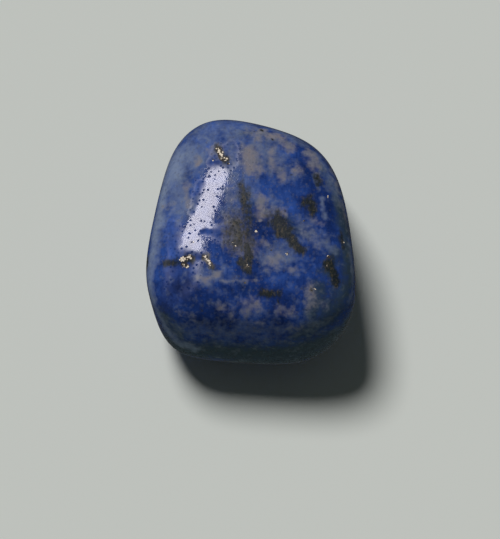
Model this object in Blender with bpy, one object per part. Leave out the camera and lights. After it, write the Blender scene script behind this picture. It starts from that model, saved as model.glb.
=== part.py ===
# A tumbled and polished pebble of lapis lazuli, lying on a small flat spot.
# Units are metres, +Z is up, +Y points away from the viewer and +X to the viewer's right.
# The origin is on the surface that the stone rests on, below the middle of its bounding box.

import math

import bmesh
import bpy
from mathutils import Vector

MM = 0.001

# The pebble is the body left when a stone is worn down on a few broad faces that have melted into
# each other. EDGE_POWER says how much of each face is left flat: 2 gives an ellipsoid, 30 a sharp block.
EDGE_POWER = 10.0

# Each worn face: the bearing of its outward normal in degrees (0 is +X, 90 is +Y), how far the normal
# rises above the level in degrees, and how far the face lies from the stone's middle in millimetres.
WORN_FACES = {
    "top": (278.0, 89.0, 4.1),
    "bottom": (0.0, -90.0, 6.3),
    "right": (6.0, 1.0, 7.3),
    "far_right": (38.0, 18.0, 8.4),
    "far": (77.0, 22.0, 9.1),
    "far_left": (132.0, 5.0, 8.35),
    "left": (170.0, -7.0, 5.9),
    "near_left": (204.0, -4.0, 7.7),
    "near": (267.0, 9.0, 7.95),
    "near_right": (310.0, -3.0, 9.7),
    "upper_left": (163.0, 64.0, 5.15),
    "upper_right": (4.0, 52.0, 7.8),
    "upper_near": (265.0, 43.0, 7.6),
    "upper_far": (78.0, 26.0, 8.2),
    "upper_near_left": (222.0, 55.0, 9.65),
    "upper_near_right": (312.0, 43.0, 9.9),
    "upper_far_left": (122.0, 34.0, 10.05),
    "upper_far_right": (42.0, 42.0, 9.0),
    "lower_near": (262.0, -47.0, 8.05),
    "lower_right": (0.0, -45.0, 7.05),
    "lower_left": (180.0, -39.0, 7.65),
    "lower_far": (90.0, -40.0, 8.1),
    "under_right": (0.0, -70.0, 6.6),
    "under_far": (90.0, -70.0, 6.65),
    "under_left": (180.0, -70.0, 6.25),
    "under_near": (270.0, -70.0, 6.65),
}

# The stone's rounded underside is worn level at this distance below its middle, and rests there.
FLAT_SPOT_DEPTH = 5.4 * MM

# The icosphere that the surface starts from: 5 gives 5120 triangles about half a millimetre across.
SPHERE_SUBDIVISIONS = 5

LAPIS_BLUE = (0.035, 0.075, 0.33, 1.0)


def clear_scene():
    for obj in list(bpy.data.objects):
        bpy.data.objects.remove(obj)


def face_normal(bearing_deg, rise_deg):
    bearing = math.radians(bearing_deg)
    rise = math.radians(rise_deg)
    level = math.cos(rise)
    return Vector((math.cos(bearing) * level, math.sin(bearing) * level, math.sin(rise)))


def surface_point(direction, faces):
    """The point where the worn surface crosses a ray from the stone's middle."""
    total = 0.0
    for normal, distance in faces:
        share = max(0.0, direction.dot(normal)) / distance
        total += share**EDGE_POWER
    return direction / total ** (1.0 / EDGE_POWER)


def shape_pebble(bm):
    """Moves each vertex of a unit sphere out to the worn surface."""
    faces = [(face_normal(b, r), d * MM) for b, r, d in WORN_FACES.values()]
    for vert in bm.verts:
        vert.co = surface_point(vert.co.normalized(), faces)


def flatten_underside(bm):
    """Wears the lowest part of the underside off into one level face."""
    for vert in bm.verts:
        vert.co.z = max(vert.co.z, -FLAT_SPOT_DEPTH)


def place_on_origin(bm):
    """Shifts the stone so that the middle of its base is the origin."""
    low = [min(vert.co[i] for vert in bm.verts) for i in range(3)]
    high = [max(vert.co[i] for vert in bm.verts) for i in range(3)]
    base = Vector(((low[0] + high[0]) / 2, (low[1] + high[1]) / 2, low[2]))
    bmesh.ops.translate(bm, verts=bm.verts, vec=-base)


def stone_material():
    material = bpy.data.materials.new("polished_lapis")
    material.use_nodes = True
    shader = material.node_tree.nodes["Principled BSDF"]
    shader.inputs["Base Color"].default_value = LAPIS_BLUE
    shader.inputs["Roughness"].default_value = 0.15
    shader.inputs["Metallic"].default_value = 0.0
    return material


def make_stone(collection):
    mesh = bpy.data.meshes.new("stone")
    bm = bmesh.new()
    bmesh.ops.create_icosphere(bm, subdivisions=SPHERE_SUBDIVISIONS, radius=1.0)
    shape_pebble(bm)
    flatten_underside(bm)
    place_on_origin(bm)
    bm.to_mesh(mesh)
    bm.free()
    mesh.shade_smooth()
    mesh.materials.append(stone_material())
    stone = bpy.data.objects.new("stone", mesh)
    collection.objects.link(stone)
    return stone


def main():
    clear_scene()
    collection = bpy.data.collections.new("lapis_lazuli")
    bpy.context.scene.collection.children.link(collection)
    make_stone(collection)


main()
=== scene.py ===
import math

import bmesh
import bpy
import numpy as np
from mathutils import Euler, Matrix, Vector, noise
from mathutils.bvhtree import BVHTree


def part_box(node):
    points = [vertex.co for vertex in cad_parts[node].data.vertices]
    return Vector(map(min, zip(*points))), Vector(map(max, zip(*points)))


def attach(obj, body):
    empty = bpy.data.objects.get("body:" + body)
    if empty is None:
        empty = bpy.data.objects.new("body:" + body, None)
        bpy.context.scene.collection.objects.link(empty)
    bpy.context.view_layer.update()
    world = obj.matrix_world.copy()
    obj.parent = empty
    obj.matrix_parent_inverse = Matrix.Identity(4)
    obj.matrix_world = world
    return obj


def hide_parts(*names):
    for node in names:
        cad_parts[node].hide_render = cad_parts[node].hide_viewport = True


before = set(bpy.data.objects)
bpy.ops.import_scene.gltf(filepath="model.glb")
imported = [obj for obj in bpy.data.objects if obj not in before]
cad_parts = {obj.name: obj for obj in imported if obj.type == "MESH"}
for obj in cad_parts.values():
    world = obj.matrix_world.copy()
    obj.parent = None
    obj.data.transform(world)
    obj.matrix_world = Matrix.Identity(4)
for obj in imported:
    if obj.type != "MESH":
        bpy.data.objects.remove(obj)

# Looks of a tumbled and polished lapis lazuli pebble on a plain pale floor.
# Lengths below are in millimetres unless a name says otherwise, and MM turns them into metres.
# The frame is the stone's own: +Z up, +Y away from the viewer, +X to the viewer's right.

MM = 0.001
SEED = 7

# Camera: place, turn and lens as the photograph was taken, from above and a little to the near side.
CAMERA_PLACE = (-4.40, -50.64, 130.7)
CAMERA_TURN_DEG = (21.0, -2.1, 0.26)
FOCAL_PIXELS = 1980.0
PHOTO_PIXELS = (500.0, 539.0)
SENSOR_MM = 36.0
CLIP_NEAR = 5.0
CLIP_FAR = 10000.0

# Lamp: one round soft lamp, far off above the far left of the stone.
LAMP_DIRECTION = (-0.36, 0.44, 1.0)
LAMP_WIDTH_DEG = 19.5
LAMP_STRENGTH = 2.32
LAMP_COLOUR = (1.0, 0.955, 1.0)

# Room: the dim light that fills the shadows, and how bright the background behind the floor looks.
ROOM_COLOUR = (0.92, 1.0, 1.0)
ROOM_STRENGTH = 0.045
BACKGROUND_STRENGTH = 0.52

FLOOR_SIDE = 4000.0
FLOOR_COLOUR = (0.75, 0.81, 0.73)
FLOOR_ROUGHNESS = 0.9
FLOOR_SPECULAR = 0.2

# Skin: a grid on the six sides of a cube, cast onto the stone and smoothed to hide its facets.
SKIN_CELLS_PER_SIDE = 128
SMOOTH_LENGTH = 0.40

# Relief: long and short waves left by the tumbling, which fade out near the resting face, and dents.
# Each wave: its length, its height and where in the noise it is taken from.
LONG_WAVE = (3.0, 0.005, 0.0)
SHORT_WAVE = (0.9, 0.003, 5.0)
RELIEF_FREE_HEIGHT = 0.8

# Each dent: its place in the photograph in pixels, its radius and its depth.
DENTS = (
    ((206, 231), 0.90, 0.020),
    ((166, 268), 1.60, 0.060),
)

# Marks have ragged edges, because the places where they are painted are shifted in waves.
# Each wave: its length, how far it shifts and where in the noise it is taken from.
WIDE_SHIFT = (0.9, 0.24, 0.0)
FINE_SHIFT = (0.3, 0.12, 11.0)

# The cosine of the angle by which a point has to face the camera, or face away, to be seen or hidden.
FACING_LIMIT = 0.05

# How many half widths from its line a stroke starts to fade, and where it ends.
MARK_FADE = (0.0, 2.2)
PYRITE_FADE = (0.2, 2.0)
GOLD_FADE = (0.0, 1.6)

# Marks on the side that the photograph shows. Each is a stroke: its half width in millimetres,
# its strength, and the places in the photograph, in pixels, that it passes through.

# Milky veils: the stone's own milky colour, and in places painted reflection of the floor along the
# rims and painted haze beside the highlight.
MILK_AND_SHEEN_STROKES = (
    (0.90, 0.85, (178, 158), (171, 178)),
    (0.80, 0.62, (189, 150), (197, 161)),
    (0.80, 0.58, (175, 186), (182, 206)),
    # This stroke and the next two run along the left rim: painted reflection of the floor over the
    # milky colour.
    (0.50, 0.80, (165, 186), (158, 226)),
    (0.42, 0.72, (156, 232), (151, 262), (152, 298)),
    (0.42, 0.58, (156, 308), (166, 328), (180, 344), (192, 348)),
    (0.70, 0.36, (212, 147), (232, 158), (236, 170)),
    (1.60, 0.36, (208, 134), (240, 132)),
    # Partly painted haze of the highlight, which lies just left of this stroke.
    (0.60, 0.34, (234, 178), (231, 214)),
    (0.50, 0.36, (246, 176), (250, 186)),
    (1.00, 0.45, (260, 140), (270, 157)),
    (0.60, 0.30, (264, 168), (290, 172)),
    (0.50, 0.45, (280, 132), (300, 142)),
    (0.50, 0.35, (256, 198), (276, 208)),
    (0.70, 0.30, (305, 230), (317, 240)),
    (0.30, 0.35, (326, 240), (332, 250)),
    (0.70, 0.45, (271, 259), (284, 254)),
    (0.35, 0.25, (291, 268), (301, 270)),
    (0.45, 0.55, (203, 277), (214, 278)),
    (0.30, 0.28, (224, 268), (222, 280), (244, 281)),
    (0.45, 0.15, (214, 288), (220, 302)),
    (0.50, 0.15, (226, 311), (262, 308)),
    (0.60, 0.12, (300, 298), (313, 298)),
    (0.90, 0.24, (170, 328), (250, 333), (312, 326)),
    (0.11, 0.60, (320, 196), (324, 220)),
    (0.11, 0.50, (315, 174), (321, 190)),
    (0.50, 0.35, (316, 156), (330, 176), (338, 196)),
    # Painted reflection of the floor along the right rim.
    (0.22, 0.40, (349, 240), (352, 270), (350, 300)),
)

# Dark grey-green veils: the stone's own colour, and painted shade on the near side and the lower right,
# which face away from the lamp.
TEAL_AND_SHADE_STROKES = (
    # The first four strokes lie on the near side and the lower right: there the veil is painted shade
    # over the stone's grey-green.
    (1.25, 1.00, (174, 346), (215, 352), (250, 355), (300, 352), (332, 338)),
    (1.20, 1.00, (240, 362), (300, 358), (330, 346), (348, 322)),
    (0.60, 0.70, (164, 316), (180, 336)),
    (0.80, 0.75, (300, 336), (326, 318), (342, 298)),
    (0.50, 0.80, (346, 296), (349, 260), (344, 222), (336, 196)),
    (0.50, 0.60, (328, 272), (334, 254)),
    (0.35, 0.50, (318, 282), (324, 302)),
    (0.60, 0.75, (318, 288), (314, 314)),
    (0.40, 0.50, (296, 236), (290, 222)),
    (0.30, 0.50, (252, 206), (246, 194)),
    (0.40, 0.50, (320, 166), (334, 188)),
    (0.40, 0.40, (246, 132), (258, 133)),
)

# Clouds of grey calcite, and two strokes of painted sheen in its grey: haze beside the highlight, and
# reflection of the floor along the left rim.
CALCITE_AND_SHEEN_STROKES = (
    (0.62, 1.00, (248, 154), (251, 166)),
    (0.30, 0.60, (243, 147), (241, 160)),
    (0.40, 0.85, (264, 133), (277, 137), (290, 147)),
    (0.42, 0.55, (251, 131), (258, 138)),
    (0.28, 0.70, (272, 148), (273, 163)),
    (0.28, 0.60, (275, 166), (283, 178)),
    (0.34, 0.65, (293, 170), (299, 167)),
    (0.40, 0.75, (309, 153), (314, 166)),
    (0.20, 0.50, (315, 166), (320, 180)),
    (0.42, 0.80, (261, 199), (262, 214)),
    (0.28, 0.60, (268, 210), (284, 213)),
    (0.40, 0.62, (271, 265), (276, 257)),
    (0.26, 0.45, (289, 268), (297, 269)),
    (0.28, 0.75, (198, 276), (206, 278), (218, 275)),
    (0.13, 0.50, (222, 280), (254, 281)),
    (0.42, 0.56, (245, 307), (254, 304)),
    (0.32, 0.40, (222, 308), (234, 314)),
    (0.32, 0.52, (279, 309), (292, 311)),
    (0.42, 0.60, (310, 288), (312, 304)),
    (0.22, 0.35, (318, 302), (325, 307)),
    (0.26, 0.60, (187, 186), (187, 203)),
    (0.40, 0.35, (173, 206), (160, 210)),
    (0.18, 0.80, (197, 157), (197, 165)),
    (0.40, 0.55, (214, 150), (226, 162)),
    # Painted haze of the highlight, in calcite grey, just right of it.
    (0.36, 0.40, (231, 182), (231, 200)),
    (0.30, 0.50, (313, 220), (319, 226)),
    (0.60, 0.25, (306, 232), (314, 243)),
    (0.30, 0.45, (256, 244), (270, 247)),
    (0.35, 0.25, (181, 316), (191, 318)),
    (0.30, 0.25, (250, 318), (262, 322)),
    (0.30, 0.30, (290, 327), (300, 328)),
    # Painted reflection of the floor along the left rim, in calcite grey.
    (0.50, 0.35, (171, 152), (160, 185)),
    (0.40, 0.40, (329, 165), (342, 200), (347, 225)),
    (0.66, 0.75, (233, 221), (236, 242), (247, 246)),
    (0.10, 1.00, (265, 207), (265, 213), (260, 221)),
)

# Places where the blue is darker.
DEEP_STROKES = (
    (0.50, 0.80, (309, 174), (314, 190)),
    (0.55, 0.90, (262, 226), (268, 238)),
    (0.35, 0.90, (327, 205), (330, 235)),
    (0.60, 1.00, (182, 286), (200, 298), (215, 308)),
    (0.50, 0.90, (205, 318), (228, 320)),
    (0.40, 0.70, (232, 291), (246, 290)),
    (0.60, 0.50, (262, 286), (290, 300)),
    (0.40, 0.80, (273, 320), (284, 320)),
    (0.35, 0.60, (322, 288), (330, 296)),
    (0.45, 0.60, (290, 220), (298, 228)),
    (0.35, 0.50, (340, 255), (345, 285)),
    (0.50, 0.50, (256, 262), (258, 278)),
    (0.30, 0.60, (243, 132), (249, 131)),
    (0.40, 0.60, (303, 200), (305, 216)),
    (0.35, 0.60, (256, 216), (255, 226)),
)

# Places where the blue is lighter.
COBALT_STROKES = (
    (0.60, 1.00, (172, 222), (174, 252)),
    (0.40, 0.60, (200, 172), (197, 186)),
    (0.40, 0.60, (178, 168), (176, 184)),
    (0.50, 0.60, (214, 124), (240, 127)),
    (0.50, 0.70, (206, 136), (208, 150)),
    (0.35, 0.60, (198, 170), (195, 210)),
    (0.80, 0.60, (262, 186), (285, 196), (296, 208)),
    (0.70, 0.60, (240, 178), (262, 180)),
    (0.40, 0.50, (280, 151), (292, 158)),
    (0.40, 0.50, (220, 262), (226, 268)),
    (0.50, 0.40, (302, 262), (316, 268)),
    (0.50, 0.40, (268, 280), (290, 284)),
)

# Patches of olive-brown pyrite.
PYRITE_STROKES = (
    (0.40, 0.80, (242, 189), (246, 210)),
    (0.66, 0.66, (234, 220), (237, 243)),
    (0.60, 0.60, (246, 222), (248, 244)),
    (0.24, 0.90, (246, 240), (248, 258)),
    (0.36, 1.00, (245, 262), (248, 268)),
    (0.50, 1.00, (274, 219), (285, 231)),
    (0.36, 1.00, (285, 232), (300, 250)),
    (0.44, 0.90, (309, 203), (311, 210)),
    (0.26, 0.90, (166, 263), (182, 262)),
    (0.30, 0.80, (184, 258), (192, 261)),
    (0.24, 0.90, (205, 256), (212, 266)),
    (0.28, 0.90, (263, 293), (279, 293)),
    (0.12, 0.80, (276, 296), (278, 303)),
    (0.32, 1.00, (329, 260), (336, 283)),
    (0.26, 0.80, (218, 148), (225, 160)),
    (0.20, 0.70, (317, 174), (320, 186)),
    (0.18, 0.60, (339, 232), (343, 248)),
    (0.12, 1.00, (292, 274)),
    (0.13, 1.00, (311, 291)),
    (0.10, 1.00, (285, 211)),
    (0.10, 1.00, (289, 176)),
    (0.10, 1.00, (272, 139)),
    (0.12, 0.90, (262, 131)),
    (0.12, 0.90, (254, 132)),
    (0.09, 0.90, (302, 178)),
    (0.09, 0.90, (300, 288)),
    (0.10, 0.90, (306, 309)),
    (0.12, 0.80, (200, 310)),
)

# Bright grains of pyrite, painted near white: partly the pyrite's brassy colour, partly painted glints
# of the lamp.
GOLD_GLINT_STROKES = (
    (0.20, 1.00, (219, 149), (222, 158), (226, 159)),
    (0.18, 1.00, (182, 259), (191, 257)),
    (0.16, 1.00, (183, 264), (187, 266)),
    (0.16, 1.00, (205, 257), (211, 264)),
    (0.10, 1.00, (228, 163)),
    (0.09, 1.00, (213, 160)),
    (0.09, 1.00, (194, 242)),
    (0.11, 1.00, (247, 267)),
    (0.10, 1.00, (256, 231)),
    (0.10, 1.00, (287, 254)),
    (0.07, 1.00, (271, 250)),
    (0.09, 1.00, (245, 282)),
    (0.09, 1.00, (328, 197)),
    (0.13, 1.00, (329, 257)),
    (0.10, 1.00, (327, 266)),
    (0.10, 1.00, (343, 242)),
    (0.08, 1.00, (314, 288)),
    (0.08, 1.00, (304, 221)),
    (0.08, 0.90, (232, 242)),
    (0.08, 0.90, (235, 246)),
)

# Places where the polish is duller.
WORN_STROKES = (
    (0.72, 1.00, (182, 265), (182, 278), (172, 296)),
    (0.34, 0.90, (172, 226), (175, 258)),
    (0.26, 0.75, (186, 256), (200, 257)),
    (0.30, 0.90, (217, 150), (214, 162), (224, 162)),
    (0.32, 1.00, (230, 146), (228, 162)),
    (0.18, 1.00, (205, 233), (212, 232)),
    (0.36, 0.90, (218, 233), (229, 232)),
    (0.22, 0.75, (200, 182), (196, 196), (191, 211)),
)

# Marks on the side that the photograph doesn't show: how many, half width, length and strength.
HIDDEN_MILK = (26, (0.40, 1.20), (0.5, 3.0), (0.25, 0.6))
HIDDEN_TEAL = (14, (0.50, 1.20), (1.0, 3.0), (0.4, 0.9))
HIDDEN_CALCITE = (40, (0.15, 0.60), (0.3, 2.2), (0.4, 1.0))
HIDDEN_DEEP = (20, (0.30, 0.70), (0.5, 2.5), (0.5, 1.0))
HIDDEN_COBALT = (14, (0.35, 0.80), (0.5, 2.0), (0.4, 1.0))
HIDDEN_PYRITE = (26, (0.10, 0.40), (0.2, 1.8), (0.7, 1.0))
HIDDEN_GOLD_GLINT = (34, (0.07, 0.17), (0.0, 0.5), (0.9, 1.0))

# Fineness of the stone's patterns: how many features there are in a millimetre.
CLOUDS_PER_MM = 0.6
PATCHES_PER_MM = 1.7
MOTTLE_PER_MM = 1.8
WISPS_PER_MM = 3.8
FINE_PER_MM = 8.0
BLUE_FIBRES_PER_MM = (5.0, 1.0, 2.0)
PYRITE_FIBRES_PER_MM = (6.0, 1.6, 3.0)
PYRITE_GRAINS_PER_MM = 7.0
GOLD_GRAINS_PER_MM = 7.5
PITS_PER_MM = 3.4
DULL_SPECKS_PER_MM = 9.0
POLISH_GRAIN_PER_MM = 5.0

# Colours of the minerals, some also used for painted shade, sheen and glints. In a run of colours, each
# one follows its place along the run.
BLUES = (
    (0.0, (0.006, 0.019, 0.09)),
    (0.4, (0.013, 0.043, 0.195)),
    (0.75, (0.032, 0.09, 0.34)),
    (1.0, (0.045, 0.125, 0.50)),
)
CALCITE_GREYS = (
    (0.35, (0.20, 0.215, 0.25)),
    (0.5, (0.245, 0.245, 0.275)),
    (0.65, (0.26, 0.24, 0.24)),
)
PYRITE_BROWNS = (
    (0.1, (0.009, 0.014, 0.014)),
    (0.5, (0.022, 0.027, 0.019)),
    (1.0, (0.11, 0.09, 0.052)),
)
TEAL_AND_SHADE_VEIL = (0.036, 0.062, 0.078, 1.0)
MILK_AND_SHEEN_VEIL = (0.23, 0.30, 0.42, 1.0)
GOLD_GROUND = (0.05, 0.042, 0.034, 1.0)
GOLD_GLINT_GRAIN = (0.95, 0.86, 0.66, 1.0)
PIT_SHADE_COLOUR = (0.01, 0.015, 0.04, 1.0)

# The most that each layer covers of what lies below it.
MILK_AND_SHEEN_COVER = 0.85
CALCITE_COVER = 0.92
PYRITE_COVER = 0.95
PIT_SHADE_COVER = 0.25

# Where a layer's field or a pattern's noise starts to show, and where it is full.
TEAL_AND_SHADE_EDGE = (0.0, 1.0)
CALCITE_EDGE = (0.10, 1.0)
PYRITE_EDGE = (0.05, 0.9)
GOLD_GROUND_EDGE = (0.2, 0.6)
GOLD_PLACE_EDGE = (0.1, 0.3)
GOLD_GRAIN_EDGE = (0.55, 0.7)
DULL_SPECK_EDGE = (0.58, 0.72)

# How far from the middle of its cell a pit starts to fade, and where it ends.
PIT_FADE = (0.18, 0.34)

# Tone of the blue where nothing is painted, and how much the painted tone adds to it.
BLUE_TONE = 0.45
PAINTED_TONE = 0.34

# Shade of the pyrite in the middle of its run of colours.
PYRITE_SHADE = 0.38

# Polish: its roughness where it is whole, its index of refraction and how deep its grain is.
POLISH_ROUGHNESS = 0.08
POLISH_IOR = 1.33
POLISH_GRAIN_DEPTH = 0.009

# The sockets of a mix node that carry colours.
MIX_COLOUR_A = 6
MIX_COLOUR_B = 7
MIX_COLOUR_OUT = 2

# In square metres: what stands for the square of a stroke's length where the stroke is one point.
POINT_LENGTH_SQUARED = 1e-12


class Graph:
    """A material's or world's node tree, with short ways to add nodes that are already linked."""

    def __init__(self, owner):
        owner.use_nodes = True
        self.tree = owner.node_tree

    def add(self, kind, inputs=None, **settings):
        node = self.tree.nodes.new(kind)
        for name, value in settings.items():
            setattr(node, name, value)
        for key, value in (inputs or {}).items():
            self.feed(node.inputs[key], value)
        return node

    def feed(self, socket, value):
        if isinstance(value, bpy.types.NodeSocket):
            self.tree.links.new(value, socket)
        else:
            socket.default_value = value

    def math(self, operation, a, b=0.0):
        return self.add("ShaderNodeMath", {0: a, 1: b}, operation=operation).outputs[0]

    def blend(self, base, *terms):
        """The base plus each term's value, less its middle, times its weight."""
        for value, middle, weight in terms:
            inputs = {0: value, 1: weight, 2: -middle * weight}
            part = self.add("ShaderNodeMath", inputs, operation="MULTIPLY_ADD").outputs[0]
            base = self.math("ADD", base, part)
        return base

    def step(self, value, low, high):
        """0 below low, 1 above high, and a soft step between them."""
        inputs = {0: value, 1: low, 2: high}
        return self.add("ShaderNodeMapRange", inputs, interpolation_type="SMOOTHSTEP").outputs[0]

    def mix(self, share, a, b):
        """Colour a, with this share of colour b over it."""
        inputs = {0: share, MIX_COLOUR_A: a, MIX_COLOUR_B: b}
        return self.add("ShaderNodeMix", inputs, data_type="RGBA").outputs[MIX_COLOUR_OUT]

    def colours(self, value, stops):
        """A run of colours along a value."""
        node = self.add("ShaderNodeValToRGB", {0: value})
        elements = node.color_ramp.elements
        while len(elements) < len(stops):
            elements.new(0.5)
        for element, (position, colour) in zip(elements, stops):
            element.position = position
            element.color = (*colour, 1.0)
        return node.outputs[0]

    def stretched(self, place, factors):
        return self.add("ShaderNodeVectorMath", {0: place, 1: factors}, operation="MULTIPLY").outputs[0]

    def noise(self, place, per_mm, detail=3.0, roughness=0.55):
        inputs = {"Vector": place, "Scale": per_mm, "Detail": detail, "Roughness": roughness}
        return self.add("ShaderNodeTexNoise", inputs).outputs[0]

    def cells(self, place, per_mm):
        """How far each place is from its cell's middle, and three random numbers of the cell."""
        node = self.add("ShaderNodeTexVoronoi", {"Vector": place, "Scale": per_mm})
        random = self.add("ShaderNodeSeparateColor", {0: node.outputs["Color"]})
        return node.outputs["Distance"], list(random.outputs)

    def attribute(self, name):
        return self.add("ShaderNodeAttribute", attribute_name=name).outputs["Fac"]


def cube_grid():
    """A unit sphere made of six square grids."""
    bm = bmesh.new()
    bmesh.ops.create_cube(bm, size=2.0)
    cuts = SKIN_CELLS_PER_SIDE - 1
    bmesh.ops.subdivide_edges(bm, edges=bm.edges[:], cuts=cuts, use_grid_fill=True)
    for vert in bm.verts:
        even = [math.tan(c * math.pi / 4) for c in vert.co]
        vert.co = Vector(even).normalized()
    return bm


def cast_onto(bm, node):
    """Moves each vertex out from the node's middle to its surface."""
    tree = BVHTree.FromPolygons(
        [v.co.copy() for v in node.data.vertices], [tuple(p.vertices) for p in node.data.polygons]
    )
    low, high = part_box(node.name)
    middle = (low + high) / 2
    for vert in bm.verts:
        vert.co = tree.ray_cast(middle, vert.co)[0]


def average_neighbours(values, edges, count, rounds):
    """Each round moves every value halfway to the mean of its neighbours'."""
    a, b = edges[:, 0], edges[:, 1]
    for _ in range(rounds):
        total = np.empty_like(values)
        for i in range(values.shape[1]):
            total[:, i] = np.bincount(a, values[b, i], len(values))
            total[:, i] += np.bincount(b, values[a, i], len(values))
        values = 0.5 * values + 0.5 * total / count[:, None]
    return values


def smooth_points(points, edges):
    """Removes the facets. What the first pass shrinks is smoothed too, and given back.

    Each round spreads a value by half an edge. Spreads add up as squares, which gives the factor 4.
    """
    count = np.bincount(edges.ravel(), minlength=len(points)).astype(float)
    edge_length = np.linalg.norm(points[edges[:, 0]] - points[edges[:, 1]], axis=1).mean()
    rounds = int(4 * (SMOOTH_LENGTH * MM / edge_length) ** 2)
    smooth = average_neighbours(points, edges, count, rounds)
    return smooth + average_neighbours(points - smooth, edges, count, rounds)


def mesh_points(mesh):
    points = np.empty(len(mesh.vertices) * 3, np.float32)
    mesh.vertices.foreach_get("co", points)
    return points.reshape(-1, 3).astype(float)


def mesh_normals(mesh):
    normals = np.empty(len(mesh.vertices) * 3, np.float32)
    mesh.vertex_normals.foreach_get("vector", normals)
    return normals.reshape(-1, 3).astype(float)


def mesh_edges(mesh):
    edges = np.empty(len(mesh.edges) * 2, np.int32)
    mesh.edges.foreach_get("vertices", edges)
    return edges.reshape(-1, 2)


def set_points(mesh, points):
    mesh.vertices.foreach_set("co", points.astype(np.float32).ravel())
    mesh.update()


def noise_field(points, wave, origin):
    """Smooth noise from -1 to 1 at each point, in three independent parts."""
    offset = Vector((origin, origin * 0.7, -origin))
    return np.array([noise.noise_vector(Vector(p) / wave + offset) for p in points / MM])


def soft_step(value, low, high):
    share = np.clip((value - low) / (high - low), 0.0, 1.0)
    return share * share * (3 - 2 * share)


def photo_pixels(points):
    """Where each point falls in the photograph."""
    turn = Euler([math.radians(a) for a in CAMERA_TURN_DEG]).to_matrix()
    seen = (points - np.array(CAMERA_PLACE) * MM) @ np.array(turn)
    right = PHOTO_PIXELS[0] / 2 - FOCAL_PIXELS * seen[:, 0] / seen[:, 2]
    down = PHOTO_PIXELS[1] / 2 + FOCAL_PIXELS * seen[:, 1] / seen[:, 2]
    return np.stack((right, down), axis=1)


class Surface:
    """The skin's points and normals, and where marks fall on it."""

    def __init__(self, mesh):
        self.points = mesh_points(mesh)
        self.normals = mesh_normals(mesh)
        to_camera = np.array(CAMERA_PLACE) * MM - self.points
        to_camera /= np.linalg.norm(to_camera, axis=1)[:, None]
        facing = (self.normals * to_camera).sum(axis=1)
        self.seen = np.flatnonzero(facing > FACING_LIMIT)
        self.hidden = np.flatnonzero(facing < -FACING_LIMIT)
        self.pixels = photo_pixels(self.points[self.seen])
        self.warped = self.points + self.shift() * MM

    def shift(self):
        """How far each point is moved, in millimetres, to give the marks ragged edges."""
        total = np.zeros(self.points.shape)
        for length, reach, origin in (WIDE_SHIFT, FINE_SHIFT):
            total += noise_field(self.points, length, origin) * reach
        return total

    def at_pixel(self, pixel):
        """The point of the skin that the photograph shows at a pixel."""
        away = ((self.pixels - np.array(pixel)) ** 2).sum(axis=1)
        return self.points[self.seen[np.argmin(away)]]

    def placed(self, strokes):
        """The same strokes, with each pixel turned into a point of the skin."""
        return [(w, s, [self.at_pixel(p) for p in pixels]) for w, s, *pixels in strokes]

    def scattered(self, rng, count, widths, lengths, strengths):
        """Strokes of the same kind on the side that the photograph doesn't show."""
        strokes = []
        for vertex in rng.choice(self.hidden, count, replace=False):
            start = self.points[vertex]
            along = np.cross(self.normals[vertex], rng.normal(size=3))
            along *= rng.uniform(*lengths) * MM / np.linalg.norm(along)
            nearest = np.argmin(((self.points - start - along) ** 2).sum(axis=1))
            route = [start, self.points[nearest]]
            strokes.append((rng.uniform(*widths), rng.uniform(*strengths), route))
        return strokes


def stroke_field(points, strokes, fade):
    """The strongest stroke at each point, fading out from its line."""
    value = np.zeros(len(points))
    for half_width, strength, route in strokes:
        away = route_distance(points, route) / (half_width * MM)
        value = np.maximum(value, strength * (1.0 - soft_step(away, *fade)))
    return value


def route_distance(points, route):
    """How far each point is from a line through the route's points."""
    nearest = np.linalg.norm(points - route[0], axis=1)
    for start, end in zip(route, route[1:]):
        along = end - start
        length_squared = max(along @ along, POINT_LENGTH_SQUARED)
        share = np.clip((points - start) @ along / length_squared, 0.0, 1.0)
        away = points - start - share[:, None] * along
        nearest = np.minimum(nearest, np.linalg.norm(away, axis=1))
    return nearest


def store(mesh, name, values):
    attribute = mesh.attributes.new(name, "FLOAT", "POINT")
    attribute.data.foreach_set("value", values.astype(np.float32))


def add_relief(mesh, surface):
    """Pushes the skin in and out by thousandths of a millimetre in waves and hundredths in dents."""
    height = np.zeros(len(surface.points))
    for length, rise, origin in (LONG_WAVE, SHORT_WAVE):
        height += noise_field(surface.points, length, origin)[:, 0] * rise
    for pixel, radius, depth in DENTS:
        away = np.linalg.norm(surface.points - surface.at_pixel(pixel), axis=1) / (radius * MM)
        height -= depth * (1.0 - soft_step(away, 0.0, 1.0))
    height *= soft_step(surface.points[:, 2], 0.0, RELIEF_FREE_HEIGHT * MM)
    set_points(mesh, surface.points + surface.normals * height[:, None] * MM)


def all_strokes(surface):
    """Each kind of mark, drawn where the photograph shows it and scattered where it doesn't."""
    kinds = {
        "milk_and_sheen": (MILK_AND_SHEEN_STROKES, HIDDEN_MILK),
        "teal_and_shade": (TEAL_AND_SHADE_STROKES, HIDDEN_TEAL),
        "calcite_and_sheen": (CALCITE_AND_SHEEN_STROKES, HIDDEN_CALCITE),
        "deep": (DEEP_STROKES, HIDDEN_DEEP),
        "cobalt": (COBALT_STROKES, HIDDEN_COBALT),
        "pyrite": (PYRITE_STROKES, HIDDEN_PYRITE),
        "gold_glint": (GOLD_GLINT_STROKES, HIDDEN_GOLD_GLINT),
    }
    rng = np.random.default_rng(SEED)
    strokes = {"worn": surface.placed(WORN_STROKES)}
    for kind, (drawn, hidden) in kinds.items():
        strokes[kind] = surface.placed(drawn) + surface.scattered(rng, *hidden)
    return strokes


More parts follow.
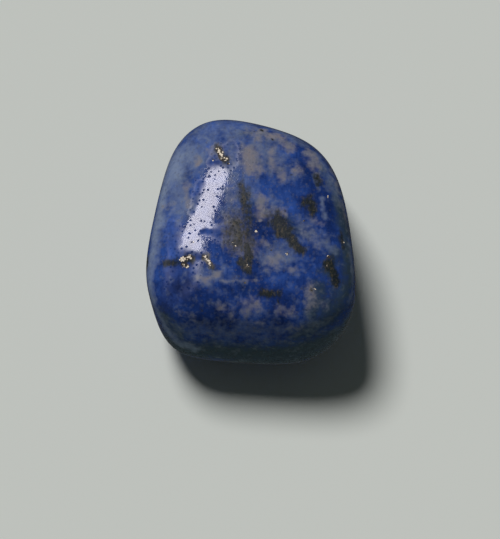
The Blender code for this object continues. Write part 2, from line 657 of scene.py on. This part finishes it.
def paint_marks(mesh, surface):
    """Writes where each mineral lies, where painted shade, sheen and glints go, and where the polish is
    worn, as one number a vertex.
    """
    strokes = all_strokes(surface)
    for kind in ("milk_and_sheen", "teal_and_shade", "calcite_and_sheen", "worn"):
        store(mesh, kind, stroke_field(surface.warped, strokes[kind], MARK_FADE))
    lighter = stroke_field(surface.warped, strokes["cobalt"], MARK_FADE)
    darker = stroke_field(surface.warped, strokes["deep"], MARK_FADE)
    store(mesh, "tone", lighter - darker)
    store(mesh, "pyrite", stroke_field(surface.warped, strokes["pyrite"], PYRITE_FADE))
    store(mesh, "gold_glint", stroke_field(surface.points, strokes["gold_glint"], GOLD_FADE))


def make_skin(node):
    """The stone's finished surface, on the shape of its solid."""
    bm = cube_grid()
    cast_onto(bm, node)
    mesh = bpy.data.meshes.new("stone_skin")
    bm.to_mesh(mesh)
    bm.free()
    points = smooth_points(mesh_points(mesh), mesh_edges(mesh))
    points[:, 2] = np.maximum(points[:, 2], 0.0)
    set_points(mesh, points)
    surface = Surface(mesh)
    add_relief(mesh, surface)
    paint_marks(mesh, surface)
    mesh.shade_smooth()
    mesh.materials.append(lapis_material())
    skin = bpy.data.objects.new("stone_skin", mesh)
    bpy.context.scene.collection.objects.link(skin)
    return skin


def blue_colour(graph, place, cloud, mottle, fine):
    """The body, from navy through ultramarine to cobalt, with faint upright fibres."""
    fibres = graph.noise(graph.stretched(place, BLUE_FIBRES_PER_MM), 1.0, detail=2.0)
    painted = graph.math("MULTIPLY", graph.attribute("tone"), PAINTED_TONE)
    tone = graph.blend(
        painted, (cloud, 0.5, 0.8), (mottle, 0.5, 0.8), (fibres, 0.5, 0.4), (fine, 0.5, 0.25)
    )
    return graph.colours(graph.math("ADD", tone, BLUE_TONE), BLUES)


def veil_layers(graph, blue, patches, wisps):
    """Thin veils over the blue: dark grey-green ones, partly painted shade on the near side, and milky
    ones over those, partly painted reflection along the rims and haze beside the highlight.
    """
    teal_and_shade = graph.blend(graph.attribute("teal_and_shade"), (patches, 0.5, 0.7), (wisps, 0.5, 0.3))
    colour = graph.mix(graph.step(teal_and_shade, *TEAL_AND_SHADE_EDGE), blue, TEAL_AND_SHADE_VEIL)
    milk_and_sheen = graph.blend(graph.attribute("milk_and_sheen"), (patches, 0.53, 0.8), (wisps, 0.53, 0.5))
    share = graph.add("ShaderNodeClamp", {"Value": milk_and_sheen, "Max": MILK_AND_SHEEN_COVER}).outputs[0]
    return graph.mix(share, colour, MILK_AND_SHEEN_VEIL)


def calcite_and_sheen_layer(graph, below, patches, mottle, wisps, fine):
    """Clouds of grey calcite, and a little painted sheen in the same grey, with the blue showing
    through their edges.
    """
    edge = graph.blend(
        graph.attribute("calcite_and_sheen"),
        (patches, 0.5, 0.9),
        (wisps, 0.5, 0.6),
        (mottle, 0.5, 0.5),
        (fine, 0.5, 0.1),
    )
    share = graph.math("MULTIPLY", graph.step(edge, *CALCITE_EDGE), CALCITE_COVER)
    return graph.mix(share, below, graph.colours(mottle, CALCITE_GREYS))


def pyrite_layer(graph, below, place, patches, fine):
    """Fibrous olive-brown pyrite, each grain with its own shade."""
    grain = graph.cells(place, PYRITE_GRAINS_PER_MM)[1]
    fibres = graph.noise(graph.stretched(place, PYRITE_FIBRES_PER_MM), 1.0, detail=3.0)
    edge = graph.blend(
        graph.attribute("pyrite"), (patches, 0.5, 0.8), (fibres, 0.5, 0.8), (grain[0], 0.5, 0.15)
    )
    share = graph.math("MULTIPLY", graph.step(edge, *PYRITE_EDGE), PYRITE_COVER)
    shade = graph.blend(PYRITE_SHADE, (grain[1], 0.5, 0.5), (fibres, 0.5, 1.5), (fine, 0.5, 0.6))
    return graph.mix(share, below, graph.colours(shade, PYRITE_BROWNS))


def gold_glint_layer(graph, below, place):
    """Bright grains of pyrite, painted near white as glints of the lamp, with dark gaps between them.
    """
    distance, grain = graph.cells(place, GOLD_GRAINS_PER_MM)
    field = graph.attribute("gold_glint")
    ground = graph.mix(graph.step(field, *GOLD_GROUND_EDGE), below, GOLD_GROUND)
    bright = graph.blend(field, (grain[2], 0.5, 0.9), (distance, 0.3, -1.1))
    in_grain = graph.step(bright, *GOLD_GRAIN_EDGE)
    in_place = graph.step(field, *GOLD_PLACE_EDGE)
    return graph.mix(graph.math("MULTIPLY", in_grain, in_place), ground, GOLD_GLINT_GRAIN)


def pit_field(graph, place):
    """Small round pits left in the polish."""
    distance = graph.cells(place, PITS_PER_MM)[0]
    return graph.math("SUBTRACT", 1.0, graph.step(distance, *PIT_FADE))


def surface_roughness(graph, place, pits):
    """A mirror polish, duller in the pits, in fine specks, where it is worn and on the pyrite."""
    specks = graph.step(graph.noise(place, DULL_SPECKS_PER_MM, detail=1.0), *DULL_SPECK_EDGE)
    return graph.blend(
        POLISH_ROUGHNESS,
        (pits, 0.0, 0.6),
        (specks, 0.0, 0.10),
        (graph.attribute("worn"), 0.0, 0.8),
        (graph.attribute("pyrite"), 0.0, 0.2),
    )


def surface_bump(graph, place, pits, fine):
    """Fine grain and pits that break up the polish."""
    grain = graph.noise(place, POLISH_GRAIN_PER_MM, detail=1.5)
    height = graph.blend(graph.math("MULTIPLY", pits, -0.15), (grain, 0.5, 0.3), (fine, 0.5, 0.05))
    inputs = {"Strength": 1.0, "Distance": POLISH_GRAIN_DEPTH * MM, "Height": height}
    return graph.add("ShaderNodeBump", inputs).outputs[0]


def lapis_material():
    material = bpy.data.materials.new("polished_lapis_lazuli")
    graph = Graph(material)
    shader = graph.tree.nodes["Principled BSDF"]
    metres = graph.add("ShaderNodeTexCoord").outputs["Object"]
    scale = {0: metres, "Scale": 1 / MM}
    place = graph.add("ShaderNodeVectorMath", scale, operation="SCALE").outputs[0]
    cloud = graph.noise(place, CLOUDS_PER_MM, detail=3.0)
    patches = graph.noise(place, PATCHES_PER_MM, detail=2.0, roughness=0.5)
    mottle = graph.noise(place, MOTTLE_PER_MM, detail=5.0, roughness=0.65)
    fine = graph.noise(place, FINE_PER_MM, detail=3.0, roughness=0.6)
    wisps = graph.noise(place, WISPS_PER_MM, detail=2.0, roughness=0.5)
    colour = blue_colour(graph, place, cloud, mottle, fine)
    colour = veil_layers(graph, colour, patches, wisps)
    colour = calcite_and_sheen_layer(graph, colour, patches, mottle, wisps, fine)
    colour = pyrite_layer(graph, colour, place, patches, fine)
    colour = gold_glint_layer(graph, colour, place)
    pits = pit_field(graph, place)
    # Partly painted shade: the colour in the pits is darkened toward navy.
    colour = graph.mix(graph.math("MULTIPLY", pits, PIT_SHADE_COVER), colour, PIT_SHADE_COLOUR)
    graph.feed(shader.inputs["Base Color"], colour)
    graph.feed(shader.inputs["Roughness"], surface_roughness(graph, place, pits))
    graph.feed(shader.inputs["Normal"], surface_bump(graph, place, pits, fine))
    shader.inputs["IOR"].default_value = POLISH_IOR
    return material


def floor_material():
    material = bpy.data.materials.new("pale_floor")
    graph = Graph(material)
    shader = graph.tree.nodes["Principled BSDF"]
    shader.inputs["Base Color"].default_value = (*FLOOR_COLOUR, 1.0)
    shader.inputs["Roughness"].default_value = FLOOR_ROUGHNESS
    shader.inputs["Specular IOR Level"].default_value = FLOOR_SPECULAR
    return material


def make_floor():
    """A wide plain floor that lights the stone from below but isn't mirrored in its polish."""
    mesh = bpy.data.meshes.new("floor")
    bm = bmesh.new()
    bmesh.ops.create_grid(bm, x_segments=1, y_segments=1, size=FLOOR_SIDE / 2 * MM)
    bm.to_mesh(mesh)
    bm.free()
    mesh.materials.append(floor_material())
    floor = bpy.data.objects.new("floor", mesh)
    floor.visible_glossy = False
    bpy.context.scene.collection.objects.link(floor)


def make_lamp():
    data = bpy.data.lights.new("lamp", "SUN")
    data.angle = math.radians(LAMP_WIDTH_DEG)
    data.energy = LAMP_STRENGTH
    data.color = LAMP_COLOUR
    lamp = bpy.data.objects.new("lamp", data)
    lamp.rotation_mode = "QUATERNION"
    lamp.rotation_quaternion = Vector(LAMP_DIRECTION).to_track_quat("Z", "Y")
    bpy.context.scene.collection.objects.link(lamp)


def make_room():
    """A dim room that fills the shadows, seen behind the floor as a pale background."""
    world = bpy.data.worlds.new("room")
    graph = Graph(world)
    background = graph.tree.nodes["Background"]
    background.inputs["Color"].default_value = (*ROOM_COLOUR, 1.0)
    in_view = graph.add("ShaderNodeLightPath").outputs["Is Camera Ray"]
    strength = graph.blend(ROOM_STRENGTH, (in_view, 0.0, BACKGROUND_STRENGTH - ROOM_STRENGTH))
    graph.feed(background.inputs["Strength"], strength)
    bpy.context.scene.world = world


def make_camera():
    data = bpy.data.cameras.new("camera")
    data.sensor_width = SENSOR_MM
    data.lens = FOCAL_PIXELS / max(PHOTO_PIXELS) * SENSOR_MM
    data.clip_start = CLIP_NEAR * MM
    data.clip_end = CLIP_FAR * MM
    camera = bpy.data.objects.new("camera", data)
    camera.location = Vector(CAMERA_PLACE) * MM
    camera.rotation_euler = [math.radians(a) for a in CAMERA_TURN_DEG]
    bpy.context.scene.collection.objects.link(camera)
    bpy.context.scene.camera = camera


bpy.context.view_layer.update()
noise.seed_set(SEED)
bpy.context.scene.view_settings.view_transform = "Standard"
make_camera()
make_room()
make_lamp()
make_floor()
skin = make_skin(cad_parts["stone"])
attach(skin, "root")
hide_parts("stone")
